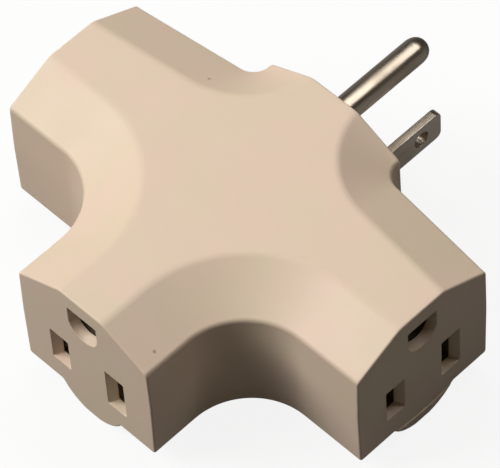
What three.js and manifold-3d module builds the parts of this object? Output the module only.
// Three-way grounded socket adapter in a moulded, four-armed body.
// Units are millimetres, +Z is up. The origin is where the arms' axes cross, on the surface
// that the rounded rib under the arms rests on.
// -Y is the front outlet, +X the right outlet, -X the left outlet and +Y the plug.

import * as THREE from 'three';
import { mergeVertices } from 'three/addons/utils/BufferGeometryUtils.js';
import Module from 'manifold-3d';

const wasm = await Module();
wasm.setup();

// Body: arm lengths from the crossing to each end face
const frontReach = 36.1;
const rightReach = 39.6;
const leftReach = 39.6;
const plugReach = 21.2;

// Body: section of an arm, heights from the flat underside
const armHalf = 14.6; // half width at the shoulder
const footInset = 0.6; // the wall is this much narrower at the underside
const partingSwell = 0.2; // and this much wider at the parting line
const footRound = 1.2;
const partingHeight = 12.5;
const shoulderHeight = 22.3;
const topHeight = 27.1;
const bevelRun = 9.75; // from the shoulder in to the edge of the flat top
const shoulderRound = 0.9;
const topRound = 6;
const roundSteps = 3;

// Body: the four hollows between the arms
const frontHollowRadius = 12.4; // at the shoulder
const backHollowRadius = 3.3;
const frontRadiusGrowth = 1; // added to the radius for each millimetre of inset
const backRadiusGrowth = 1.35;
const backFlare = THREE.MathUtils.degToRad(6.6); // rear walls of the side arms
const hollowSteps = 9;

// Body: rounded rib under the arms
const ribRadius = 7.7;
const ribDepth = 3.75;
const ribLandHalf = 1.5; // flat land that the part rests on
const ribSteps = 8;

// Outlet pattern, with the earth hole above the two slots
const slotPitch = 12.7;
const earthRise = 11.9;
const slotHeight = 8.85; // middle of the slots above the flat underside
const mouthWidth = 4.1;
const liveMouthTall = 7.6;
const neutralMouthTall = 8.9;
const earthMouthHalf = 3.2;
const earthMouthBelow = 3.4;
const earthMouthAbove = 2.95;
const mouthDepth = 1.5; // the mouths taper to their throats over this depth
const arcSteps = 14;

// Walls and clearances
const endWall = 1.7;
const fitGap = 0.3;
const cavityHalf = 10.9;
const ridgeHalf = 4.9;
const floorHeight = 2.4; // cavity floor above the flat underside
const ridgeTop = 24.5; // ceiling of the earth channel above the flat underside

// Inner carriers behind each outlet
const carrierDepth = 15.2;
const carrierFront = 2;
const throatWidth = 2.4;
const liveThroatTall = 7;
const neutralThroatTall = 8.6;
const earthThroatHalf = 2.75;
const earthThroatAbove = 2.85;
const neutralChamberLow = 4.35; // below the middle of the slots

// Folded contacts
const sheet = 0.5;
const jawHalf = 0.85;
const lipHalf = 1.75;
const heelHalf = 1.9;
const heelEase = 0.3; // a leaf stands this much closer at the front of its web than at the back
const contactLength = 12.4;
const pinchAt = 2.7; // from the contact's mouth to its narrowest place
const leafReach = 3.65; // free edge of a leaf from the middle of the slots
const webStart = 6.2;
const tailWidth = 3.2;
const tailLength = 3.2;
const sleeveRadius = 2.45;
const sleeveRise = 2.3;
const sleeveSheet = 0.4;

// Bus strips
const busThick = 0.8;
const busHalf = 2.3;
const busUnderFloor = 0.8; // space left under the live strip for the rivet's head
const hubTall = 9.6;
const spacerTall = 1.5;
const hubClear = 0.7; // from the contacts' tails and the feet to the hub

// Plug
const bladeThick = 1.5;
const bladeTall = 6.35;
const bladeOut = 17.3;
const bladeCorner = 1.4;
const bladeHoleRadius = 1.6;
const bladeHoleOut = 12.6;
const pinRadius = 2.35;
const pinOut = 21;
const pinNose = 2.6;
const pinNoseFullness = 0.8; // below 1 the nose is blunter than an ellipse
const pinNeck = 0.6; // flattened length between the round pin and its foot
const bridgeThick = 2.5;
const footDepth = 3.6;
const footSide = 5.2; // from a blade's outer face to the end of its foot
const footThick = 1;
const rivetRadius = 0.95;
const rivetHeadRadius = 1.6;
const rivetHeadTall = 0.5;
const rivetHeadTaper = 0.8; // outer face of a head, as a share of its radius
const rivetClear = 0.15;
const rivetFromEdge = 1.8;
const roundSides = 24;
const cornerSteps = 8;

// Making of the solids
const overlap = 1; // joined shapes reach this far into each other, and cuts this far past a surface
const weldDistance = 1e-4;

// Places worked out from the sizes
const zFlat = ribDepth;
const zShoulder = zFlat + shoulderHeight;
const zTop = zFlat + topHeight;
const zSlot = zFlat + slotHeight;
const zEarth = zSlot + earthRise;
const zFloor = zFlat + floorHeight;
const zCeiling = zFlat + ridgeTop;
const slotSide = slotPitch / 2;
const zLiveBus = zFloor + busUnderFloor;
const zLiveTop = zLiveBus + busThick;
const zHub = zLiveTop + fitGap;
const zNeutralBus = zHub + hubTall + fitGap;
const zNeutralTop = zNeutralBus + busThick;
const zSpacer = zNeutralTop + fitGap;
const zEarthBus = zSpacer + spacerTall + fitGap;
const zEarthTop = zEarthBus + busThick;
const zTier = zEarthBus + fitGap / 2;
const carrierStart = endWall + fitGap;
const carrierEnd = carrierStart + carrierDepth;
const contactStart = carrierStart + carrierFront + fitGap;
const contactEnd = contactStart + contactLength;
const busStart = carrierEnd + fitGap;
const tailEnd = busStart + tailLength;
const hubStart = tailEnd + hubClear;
const yBridge = plugReach - endWall - fitGap - bridgeThick;
const yFoot = yBridge - fitGap / 2;
const yRoot = yFoot - footDepth;
const yHub = yRoot - hubClear;

const materials = {
  jacket: new THREE.MeshStandardMaterial({ color: '#dfc9b1', roughness: 0.5, metalness: 0 }),
  insert: new THREE.MeshStandardMaterial({ color: '#6f6654', roughness: 0.6, metalness: 0 }),
  brass: new THREE.MeshStandardMaterial({ color: '#b08a4a', roughness: 0.35, metalness: 1 }),
  plating: new THREE.MeshStandardMaterial({ color: '#b9ad97', roughness: 0.25, metalness: 1 }),
};

// Joins a closed geometry's corners and makes it a solid for cutting and joining
function solidFrom(geometry) {
  const bare = geometry.index ? geometry.clone() : geometry;
  bare.deleteAttribute('normal');
  bare.deleteAttribute('uv');
  const merged = mergeVertices(bare, weldDistance);
  const mesh = new wasm.Mesh({
    numProp: 3,
    vertProperties: new Float32Array(merged.attributes.position.array),
    triVerts: new Uint32Array(merged.index.array),
  });
  return new wasm.Manifold(mesh);
}

// Turns a solid back into a geometry with flat facets
function geometryFrom(solid) {
  const mesh = solid.getMesh();
  const geometry = new THREE.BufferGeometry();
  geometry.setAttribute('position', new THREE.BufferAttribute(mesh.vertProperties, 3));
  geometry.setIndex(new THREE.BufferAttribute(mesh.triVerts, 1));
  geometry.computeVertexNormals();
  return geometry;
}

function named(name, solid, material) {
  const mesh = new THREE.Mesh(geometryFrom(solid), material);
  mesh.name = name;
  return mesh;
}

// Box between two corners
function block(low, high) {
  const size = new THREE.Vector3().subVectors(high, low);
  const geometry = new THREE.BoxGeometry(size.x, size.y, size.z);
  geometry.translate((low.x + high.x) / 2, (low.y + high.y) / 2, (low.z + high.z) / 2);
  return geometry;
}

function slab(x0, x1, y0, y1, z0, z1) {
  return solidFrom(block(new THREE.Vector3(x0, y0, z0), new THREE.Vector3(x1, y1, z1)));
}

// Section in the XZ plane pushed along +Y from y0 to y1
function alongY(shape, y0, y1) {
  const geometry = new THREE.ExtrudeGeometry(shape, { depth: y1 - y0, bevelEnabled: false });
  geometry.rotateX(Math.PI / 2);
  geometry.translate(0, y1, 0);
  return geometry;
}

// Section in the XY plane pushed up from z0 to z1
function upwards(shape, z0, z1) {
  const geometry = new THREE.ExtrudeGeometry(shape, { depth: z1 - z0, bevelEnabled: false });
  geometry.translate(0, 0, z0);
  return geometry;
}

// Polyline with its corners rounded: points are [across, height], rounds one radius per corner
function roundedLine(points, rounds, steps) {
  const line = [points[0]];
  for (let i = 1; i < points.length - 1; i += 1) {
    const corner = new THREE.Vector2(...points[i]);
    const toPrevious = new THREE.Vector2(...points[i - 1]).sub(corner).normalize();
    const toNext = new THREE.Vector2(...points[i + 1]).sub(corner).normalize();
    const halfAngle = Math.acos(THREE.MathUtils.clamp(toPrevious.dot(toNext), -1, 1)) / 2;
    const back = rounds[i - 1] / Math.tan(halfAngle);
    const start = corner.clone().addScaledVector(toPrevious, back);
    const end = corner.clone().addScaledVector(toNext, back);
    const curve = new THREE.QuadraticBezierCurve(start, corner, end);
    line.push(...curve.getPoints(steps).map((p) => [p.x, p.y]));
  }
  line.push(points[points.length - 1]);
  return line;
}

// Plan of the body at one inset from the shoulder, anticlockwise, the same number of points at each inset
function bodyPlan(inset) {
  const half = armHalf - inset;
  const front = frontHollow(half, inset);
  const rightSide = front.concat(backHollow(half, inset, rightReach));
  const leftFront = front.map((p) => new THREE.Vector2(-p.x, p.y));
  const leftBack = backHollow(half, inset, leftReach).map((p) => new THREE.Vector2(-p.x, p.y));
  rightSide[front.length - 1] = new THREE.Vector2(rightReach, -half);
  leftFront[front.length - 1] = new THREE.Vector2(-leftReach, -half);
  return rightSide.concat(leftFront.concat(leftBack).reverse());
}

// Front hollow on the right: corner of the front outlet, quarter circle, corner of the side outlet
function frontHollow(half, inset) {
  const radius = frontHollowRadius + frontRadiusGrowth * inset;
  const centre = half + radius;
  const points = [new THREE.Vector2(half, -frontReach)];
  for (let i = 0; i <= hollowSteps; i += 1) {
    const turn = (i / hollowSteps) * (Math.PI / 2);
    points.push(new THREE.Vector2(centre - radius * Math.cos(turn), -centre + radius * Math.sin(turn)));
  }
  points.push(new THREE.Vector2(rightReach, -half));
  return points;
}

// Rear hollow on the right: flared wall of the side arm, rounded corner, side of the plug arm
function backHollow(half, inset, reach) {
  const radius = backHollowRadius + backRadiusGrowth * inset;
  const xCentre = half + radius;
  const yCentre = half + Math.tan(backFlare) * (reach - xCentre) + radius / Math.cos(backFlare);
  const cut = yCentre > plugReach;
  const first = Math.PI / 2 - backFlare;
  const last = cut ? Math.asin((yCentre - plugReach) / radius) : 0;
  const steps = cut ? hollowSteps : hollowSteps - 1;
  const points = [new THREE.Vector2(reach, half)];
  for (let i = 0; i <= steps; i += 1) {
    const turn = first + (last - first) * (i / steps);
    points.push(new THREE.Vector2(xCentre - radius * Math.cos(turn), yCentre - radius * Math.sin(turn)));
  }
  if (!cut) {
    points.push(new THREE.Vector2(half, plugReach));
  }
  return points;
}

// Closed body through level rings that all have the same number of points
function loft(rings) {
  const count = rings[0].points.length;
  const positions = rings.flatMap((ring) => ring.points.flatMap((p) => [p.x, p.y, ring.z]));
  const index = [];
  for (let level = 0; level < rings.length - 1; level += 1) {
    for (let i = 0; i < count; i += 1) {
      const a = level * count + i;
      const b = level * count + ((i + 1) % count);
      index.push(a, b, b + count, a, b + count, a + count);
    }
  }
  const last = rings.length - 1;
  for (const [a, b, c] of THREE.ShapeUtils.triangulateShape(rings[0].points, [])) {
    index.push(a, c, b);
  }
  for (const [a, b, c] of THREE.ShapeUtils.triangulateShape(rings[last].points, [])) {
    index.push(last * count + a, last * count + b, last * count + c);
  }
  const geometry = new THREE.BufferGeometry();
  geometry.setAttribute('position', new THREE.Float32BufferAttribute(positions, 3));
  geometry.setIndex(index);
  return geometry;
}

// Section of an arm as pairs of inset and height: rib, underside, wall, bevel, edge of the flat top
function armSection() {
  const corners = [
    [footInset, zFlat],
    [-partingSwell, zFlat + partingHeight],
    [0, zShoulder],
    [bevelRun, zTop],
    [armHalf, zTop],
  ];
  const rounds = [footRound, 0, shoulderRound, topRound];
  const rib = ribLine();
  const line = roundedLine([rib[rib.length - 1], ...corners], rounds, roundSteps);
  const section = rib.concat(line.slice(1, -1));
  return section.filter((p, i) => {
    return i === 0 || Math.hypot(p[0] - section[i - 1][0], p[1] - section[i - 1][1]) > weldDistance;
  });
}

// Round rib from the edge of the flat land at its lowest line to the underside
function ribLine() {
  const centre = Math.sqrt(ribRadius ** 2 - ribLandHalf ** 2);
  const landTurn = Math.asin(ribLandHalf / ribRadius);
  const sideTurn = Math.acos((centre - zFlat) / ribRadius);
  const line = [];
  for (let i = 0; i <= ribSteps; i += 1) {
    const turn = landTurn + (sideTurn - landTurn) * (i / ribSteps);
    line.push([armHalf - ribRadius * Math.sin(turn), centre - ribRadius * Math.cos(turn)]);
  }
  return line;
}

// Matrix that stands an outlet's own frame (across, inwards, up) at the end of its arm
function outletPlace(turn, reach) {
  const place = new THREE.Matrix4().makeRotationZ(turn);
  return place.multiply(new THREE.Matrix4().makeTranslation(0, -reach, 0));
}

const outlets = [
  { side: 'front', reach: frontReach, turn: 0 },
  { side: 'right', reach: rightReach, turn: Math.PI / 2 },
  { side: 'left', reach: leftReach, turn: -Math.PI / 2 },
];

// Mouth that tapers from the face to its throat: outlines of the same number of points
function taperedMouth(outer, inner, depth) {
  const rings = [
    { z: -overlap, outline: outer },
    { z: 0, outline: outer },
    { z: mouthDepth, outline: inner },
    { z: depth, outline: inner },
  ];
  const geometry = loft(rings.map(({ z, outline }) => {
    return { z, points: outline.map((p) => new THREE.Vector2(p.x, -p.y)).reverse() };
  }));
  geometry.rotateX(-Math.PI / 2);
  return geometry;
}

function slotOutline(middle, wide, tall) {
  return [
    new THREE.Vector2(middle - wide / 2, zSlot - tall / 2),
    new THREE.Vector2(middle + wide / 2, zSlot - tall / 2),
    new THREE.Vector2(middle + wide / 2, zSlot + tall / 2),
    new THREE.Vector2(middle - wide / 2, zSlot + tall / 2),
  ];
}

// Earth hole: flat above, round below
function earthShape(half, above, below) {
  const shape = new THREE.Shape();
  const centre = zEarth - below + half;
  shape.moveTo(half, zEarth + above);
  shape.lineTo(-half, zEarth + above);
  shape.lineTo(-half, centre);
  shape.absarc(0, centre, half, Math.PI, 2 * Math.PI, false);
  shape.closePath();
  return shape;
}

function earthOutline(half, above, below) {
  const points = earthShape(half, above, below).getPoints(arcSteps);
  return points.filter((p, i) => i === 0 || p.distanceTo(points[0]) > weldDistance);
}

// Bent strip seen edge on: a line of points given a thickness
function stripShape(points, thick) {
  const left = [];
  const right = [];
  points.forEach((point, i) => {
    const before = points[Math.max(i - 1, 0)];
    const after = points[Math.min(i + 1, points.length - 1)];
    const along = new THREE.Vector2().subVectors(after, before).normalize();
    const across = new THREE.Vector2(-along.y, along.x).multiplyScalar(thick / 2);
    left.push(point.clone().add(across));
    right.push(point.clone().sub(across));
  });
  return new THREE.Shape(left.concat(right.reverse()));
}

// Outer moulding
function jacketSolid() {
  const rings = armSection().map(([inset, z]) => ({ z, points: bodyPlan(inset) }));
  let solid = solidFrom(loft(rings));
  for (const hollow of cavities()) {
    solid = solid.subtract(hollow);
  }
  for (const outlet of outlets) {
    for (const mouth of mouths()) {
      solid = solid.subtract(solidFrom(mouth.applyMatrix4(outletPlace(outlet.turn, outlet.reach))));
    }
  }
  for (const passage of plugPassages(yBridge + bridgeThick, plugReach + overlap)) {
    solid = solid.subtract(passage);
  }
  return solid;
}

// Inside of the moulding: two crossing tiers, a channel for the earth strip and the earth pockets
function cavities() {
  const x0 = -leftReach + endWall;
  const x1 = rightReach - endWall;
  const y0 = -frontReach + endWall;
  const y1 = plugReach - endWall;
  const zChannel = zEarthTop + fitGap;
  const pocket = hubStart;
  return [
    slab(x0, x1, -cavityHalf, cavityHalf, zFloor, zTier),
    slab(-cavityHalf, cavityHalf, y0, y1, zFloor, zTier),
    slab(x0, x1, -ridgeHalf, ridgeHalf, zTier - overlap, zChannel),
    slab(-ridgeHalf, ridgeHalf, y0, y1, zTier - overlap, zChannel),
    slab(x0, -leftReach + pocket, -ridgeHalf, ridgeHalf, zTier - overlap, zCeiling),
    slab(rightReach - pocket, x1, -ridgeHalf, ridgeHalf, zTier - overlap, zCeiling),
    slab(-ridgeHalf, ridgeHalf, y0, -frontReach + pocket, zTier - overlap, zCeiling),
    slab(-ridgeHalf, ridgeHalf, yHub, y1, zTier - overlap, zCeiling),
  ];
}

// The three mouths in an end face, in the outlet's own frame
function mouths() {
  const depth = endWall + overlap;
  return [
    taperedMouth(
      slotOutline(-slotSide, mouthWidth, liveMouthTall),
      slotOutline(-slotSide, throatWidth, liveThroatTall),
      depth,
    ),
    taperedMouth(
      slotOutline(slotSide, mouthWidth, neutralMouthTall),
      slotOutline(slotSide, throatWidth, neutralThroatTall),
      depth,
    ),
    taperedMouth(
      earthOutline(earthMouthHalf, earthMouthAbove, earthMouthBelow),
      earthOutline(earthThroatHalf, earthThroatAbove, earthThroatHalf),
      depth,
    ),
  ];
}

// Room for the two blades and the pin through a wall of the plug arm
function plugPassages(from, to) {
  const half = bladeThick / 2 + fitGap;
  const tall = bladeTall / 2 + fitGap;
  const bore = new THREE.Shape().absarc(0, zEarth, pinRadius + fitGap, 0, 2 * Math.PI, false);
  return [
    slab(-slotSide - half, -slotSide + half, from, to, zSlot - tall, zSlot + tall),
    slab(slotSide - half, slotSide + half, from, to, zSlot - tall, zSlot + tall),
    solidFrom(alongY(new THREE.Shape(bore.getPoints(roundSides)), from, to)),
  ];
}

// Hard insert behind an outlet: throats in its front wall, chambers open to the rear
function carrierSolid() {
  const low = zFloor + fitGap;
  const high = zTier - fitGap;
  const half = cavityHalf - fitGap;
  const ridge = ridgeHalf - fitGap;
  const back = carrierEnd;
  const chamberHalf = heelHalf + sheet / 2 + fitGap;
  const wallEnd = carrierStart + carrierFront;
  const beyond = back + overlap;
  const sleeveHalf = sleeveRadius + sleeveSheet + fitGap;
  const cuts = [
    slab(-slotSide - throatWidth / 2, -slotSide + throatWidth / 2, 0, beyond,
      zSlot - liveThroatTall / 2, zSlot + liveThroatTall / 2),
    slab(slotSide - throatWidth / 2, slotSide + throatWidth / 2, 0, beyond,
      zSlot - neutralThroatTall / 2, zSlot + neutralThroatTall / 2),
    slab(-slotSide - chamberHalf, -slotSide + chamberHalf, wallEnd, beyond,
      zLiveTop - fitGap, zSlot + leafReach + fitGap),
    slab(slotSide - chamberHalf, slotSide + chamberHalf, wallEnd, beyond,
      zSlot - neutralChamberLow, zNeutralBus + fitGap),
    slab(-sleeveHalf, sleeveHalf, wallEnd, beyond,
      zEarthTop - fitGap, zEarth + sleeveRise + sleeveSheet + fitGap),
    solidFrom(alongY(
      new THREE.Shape(earthOutline(earthThroatHalf, earthThroatAbove, earthThroatHalf)),
      0,
      wallEnd + overlap,
    )),
  ];
  const lower = slab(-half, half, carrierStart, back, low, high);
  let solid = lower.add(slab(-ridge, ridge, carrierStart, back, high - overlap, zCeiling - fitGap));
  for (const cut of cuts) {
    solid = solid.subtract(cut);
  }
  return solid;
}

// One spring leaf of a contact in plan: flared lip, pinch, straight heel
function leafLine(middle, side) {
  const knots = [
    [lipHalf, 0],
    [jawHalf, pinchAt],
    [heelHalf - heelEase, webStart],
    [heelHalf, contactLength],
  ];
  const points = knots.map(([across, along]) => {
    return new THREE.Vector2(middle + side * across, contactStart + along);
  });
  return new THREE.SplineCurve(points).getPoints(arcSteps);
}

// Folded contact for a blade: two leaves on a web whose tail lies on the strip
function bladeContact(middle, webLow, leafLow, leafHigh) {
  const outer = heelHalf + sheet / 2;
  const half = tailWidth / 2;
  const webHigh = webLow + sheet;
  const left = upwards(stripShape(leafLine(middle, -1), sheet), leafLow, leafHigh);
  const right = upwards(stripShape(leafLine(middle, 1), sheet), leafLow, leafHigh);
  const web = slab(middle - outer, middle + outer, contactStart + webStart, contactEnd, webLow, webHigh);
  const tail = slab(middle - half, middle + half, contactEnd - overlap, tailEnd, webLow, webHigh);
  return solidFrom(left).add(solidFrom(right)).add(web).add(tail);
}

function liveContact() {
  return bladeContact(-slotSide, zLiveTop, zLiveTop, zSlot + leafReach);
}

function neutralContact() {
  return bladeContact(slotSide, zNeutralBus - sheet, zSlot - leafReach, zNeutralBus);
}

// Open sleeve for a round pin, with a tail on the earth strip
function earthContact() {
  const middle = sleeveRadius + sleeveSheet / 2;
  const line = [new THREE.Vector2(middle, zEarth + sleeveRise)];
  for (let i = 0; i <= arcSteps; i += 1) {
    const turn = -Math.PI * (i / arcSteps);
    line.push(new THREE.Vector2(middle * Math.cos(turn), zEarth + middle * Math.sin(turn)));
  }
  line.push(new THREE.Vector2(-middle, zEarth + sleeveRise));
  const sleeve = alongY(stripShape(line, sleeveSheet), contactStart, contactEnd);
  const half = tailWidth / 2;
  const high = zEarthTop + sleeveSheet;
  const tail = slab(-half, half, contactEnd - overlap, tailEnd, zEarthTop, high);
  return solidFrom(sleeve).add(tail);
}

// Rivet through a foot and a strip, heads on both
function rivetSolid(x, y, low, high) {
  const profile = [
    new THREE.Vector2(0, low - rivetHeadTall),
    new THREE.Vector2(rivetHeadRadius * rivetHeadTaper, low - rivetHeadTall),
    new THREE.Vector2(rivetHeadRadius, low),
    new THREE.Vector2(rivetRadius, low),
    new THREE.Vector2(rivetRadius, high),
    new THREE.Vector2(rivetHeadRadius, high),
    new THREE.Vector2(rivetHeadRadius * rivetHeadTaper, high + rivetHeadTall),
    new THREE.Vector2(0, high + rivetHeadTall),
  ];
  const geometry = new THREE.LatheGeometry(profile, roundSides);
  geometry.rotateX(Math.PI / 2);
  geometry.translate(x, y, 0);
  return solidFrom(geometry);
}

function rivetHole(x, y) {
  const shape = new THREE.Shape().absarc(x, y, rivetRadius + rivetClear, 0, 2 * Math.PI, false);
  return solidFrom(upwards(new THREE.Shape(shape.getPoints(roundSides)), 0, zTop));
}

const rivetY = yFoot - pinNeck - rivetHeadRadius - rivetClear;
const rivetSide = slotSide - footSide + rivetFromEdge + bladeThick / 2;

// Live and neutral strips: side is -1 for live and 1 for neutral, which mirrors it
function busSolid(side, low) {
  const high = low + busThick;
  const x = side * slotSide;
  const bar = slab(x - busHalf, x + busHalf, -frontReach + busStart, yFoot, low, high);
  const right = slab(x, rightReach - busStart, x - busHalf, x + busHalf, low, high);
  const left = slab(-leftReach + busStart, x, -x - busHalf, -x + busHalf, low, high);
  const padInner = x - side * (footSide - bladeThick / 2);
  const pad = slab(Math.min(x, padInner), Math.max(x, padInner), yRoot, yFoot, low, high);
  return bar.add(right).add(left).add(pad).subtract(rivetHole(side * rivetSide, rivetY));
}

function earthBus() {
  const x0 = -leftReach + busStart;
  const x1 = rightReach - busStart;
  const along = slab(-busHalf, busHalf, -frontReach + busStart, yFoot, zEarthBus, zEarthTop);
  const across = slab(x0, x1, -busHalf, busHalf, zEarthBus, zEarthTop);
  return along.add(across).subtract(rivetHole(0, rivetY));
}

// Cross-shaped spacer between two levels
function hubSolid(low, high) {
  const half = cavityHalf - fitGap;
  const rear = Math.min(half, yHub); // stays clear of the feet when the plug arm is short
  const across = slab(-leftReach + hubStart, rightReach - hubStart, -half, rear, low, high);
  return across.add(slab(-half, half, -frontReach + hubStart, yHub, low, high));
}

// Hard insert that holds the blades and the pin
function bridgeSolid() {
  const half = cavityHalf - fitGap;
  const ridge = ridgeHalf - fitGap;
  const high = zTier - fitGap;
  const back = yBridge + bridgeThick;
  let solid = slab(-half, half, yBridge, back, zFloor + fitGap, high);
  solid = solid.add(slab(-ridge, ridge, yBridge, back, high - overlap, zCeiling - fitGap));
  for (const passage of plugPassages(yBridge - overlap, back + overlap)) {
    solid = solid.subtract(passage);
  }
  return solid;
}

// Blade with a rounded nose and a hole, its root bent to a foot on the strip
function bladeSolid(side, footLow) {
  const low = zSlot - bladeTall / 2;
  const high = zSlot + bladeTall / 2;
  const tip = plugReach + bladeOut;
  const shape = new THREE.Shape();
  shape.moveTo(yRoot, low);
  shape.lineTo(tip - bladeCorner, low);
  shape.quadraticCurveTo(tip, low, tip, low + bladeCorner);
  shape.lineTo(tip, high - bladeCorner);
  shape.quadraticCurveTo(tip, high, tip - bladeCorner, high);
  shape.lineTo(yRoot, high);
  shape.closePath();
  const hole = new THREE.Path();
  hole.absarc(plugReach + bladeHoleOut, zSlot, bladeHoleRadius, 0, 2 * Math.PI, true);
  shape.holes.push(hole);
  const x = side * slotSide;
  const settings = { depth: bladeThick, bevelEnabled: false, curveSegments: cornerSteps };
  const flat = new THREE.ExtrudeGeometry(shape, settings);
  const stand = new THREE.Matrix4().makeBasis(
    new THREE.Vector3(0, 1, 0),
    new THREE.Vector3(0, 0, 1),
    new THREE.Vector3(1, 0, 0),
  );
  flat.applyMatrix4(stand.setPosition(x - bladeThick / 2, 0, 0));
  const footHigh = footLow + footThick;
  const legLow = Math.min(footLow, low + overlap);
  const legHigh = Math.max(footHigh, high - overlap);
  const leg = slab(x - bladeThick / 2, x + bladeThick / 2, yRoot, yFoot, legLow, legHigh);
  const outer = x + side * (bladeThick / 2);
  const inner = outer - side * footSide;
  const foot = slab(Math.min(outer, inner), Math.max(outer, inner), yRoot, yFoot, footLow, footHigh);
  return solidFrom(flat).add(leg).add(foot).subtract(rivetHole(side * rivetSide, rivetY));
}

// Round earth pin with a bullet nose, its root flattened onto the earth strip
function pinSolid() {
  const tip = plugReach + pinOut;
  const start = yFoot - pinNeck;
  const profile = [new THREE.Vector2(0, start), new THREE.Vector2(pinRadius, start)];
  for (let i = 0; i <= arcSteps / 2; i += 1) {
    const turn = (i / (arcSteps / 2)) * (Math.PI / 2);
    const radius = i === arcSteps / 2 ? 0 : pinRadius * Math.cos(turn) ** pinNoseFullness;
    profile.push(new THREE.Vector2(radius, tip - pinNose + pinNose * Math.sin(turn)));
  }
  const round = new THREE.LatheGeometry(profile, roundSides);
  round.translate(0, 0, zEarth);
  const footTop = zEarthTop + footThick;
  const tongue = slab(-busHalf, busHalf, yRoot, yFoot, zEarthTop, footTop);
  const neck = slab(-pinRadius / 2, pinRadius / 2, start, yFoot, zEarthTop, zEarth);
  return solidFrom(round).add(tongue).add(neck).subtract(rivetHole(0, rivetY));
}

const part = new THREE.Group();
part.add(named('outer_jacket', jacketSolid(), materials.jacket));
for (const outlet of outlets) {
  const place = new THREE.Group();
  place.applyMatrix4(outletPlace(outlet.turn, outlet.reach));
  place.add(named(`${outlet.side}_carrier`, carrierSolid(), materials.insert));
  place.add(named(`${outlet.side}_live_contact`, liveContact(), materials.brass));
  place.add(named(`${outlet.side}_neutral_contact`, neutralContact(), materials.brass));
  place.add(named(`${outlet.side}_earth_contact`, earthContact(), materials.brass));
  part.add(place);
}
part.add(named('plug_bridge', bridgeSolid(), materials.insert));
part.add(named('hub_block', hubSolid(zHub, zHub + hubTall), materials.insert));
part.add(named('earth_spacer', hubSolid(zSpacer, zSpacer + spacerTall), materials.insert));
part.add(named('live_strip', busSolid(-1, zLiveBus), materials.brass));
part.add(named('neutral_strip', busSolid(1, zNeutralBus), materials.brass));
part.add(named('earth_strip', earthBus(), materials.brass));
part.add(named('live_blade', bladeSolid(-1, zLiveTop), materials.plating));
part.add(named('neutral_blade', bladeSolid(1, zNeutralBus - footThick), materials.plating));
part.add(named('earth_pin', pinSolid(), materials.plating));
const rivets = [
  { name: 'live_rivet', x: -rivetSide, low: zLiveBus, high: zLiveTop + footThick },
  { name: 'neutral_rivet', x: rivetSide, low: zNeutralBus - footThick, high: zNeutralTop },
  { name: 'earth_rivet', x: 0, low: zEarthBus, high: zEarthTop + footThick },
];
for (const { name, x, low, high } of rivets) {
  part.add(named(name, rivetSolid(x, rivetY, low, high), materials.brass));
}

export default part;
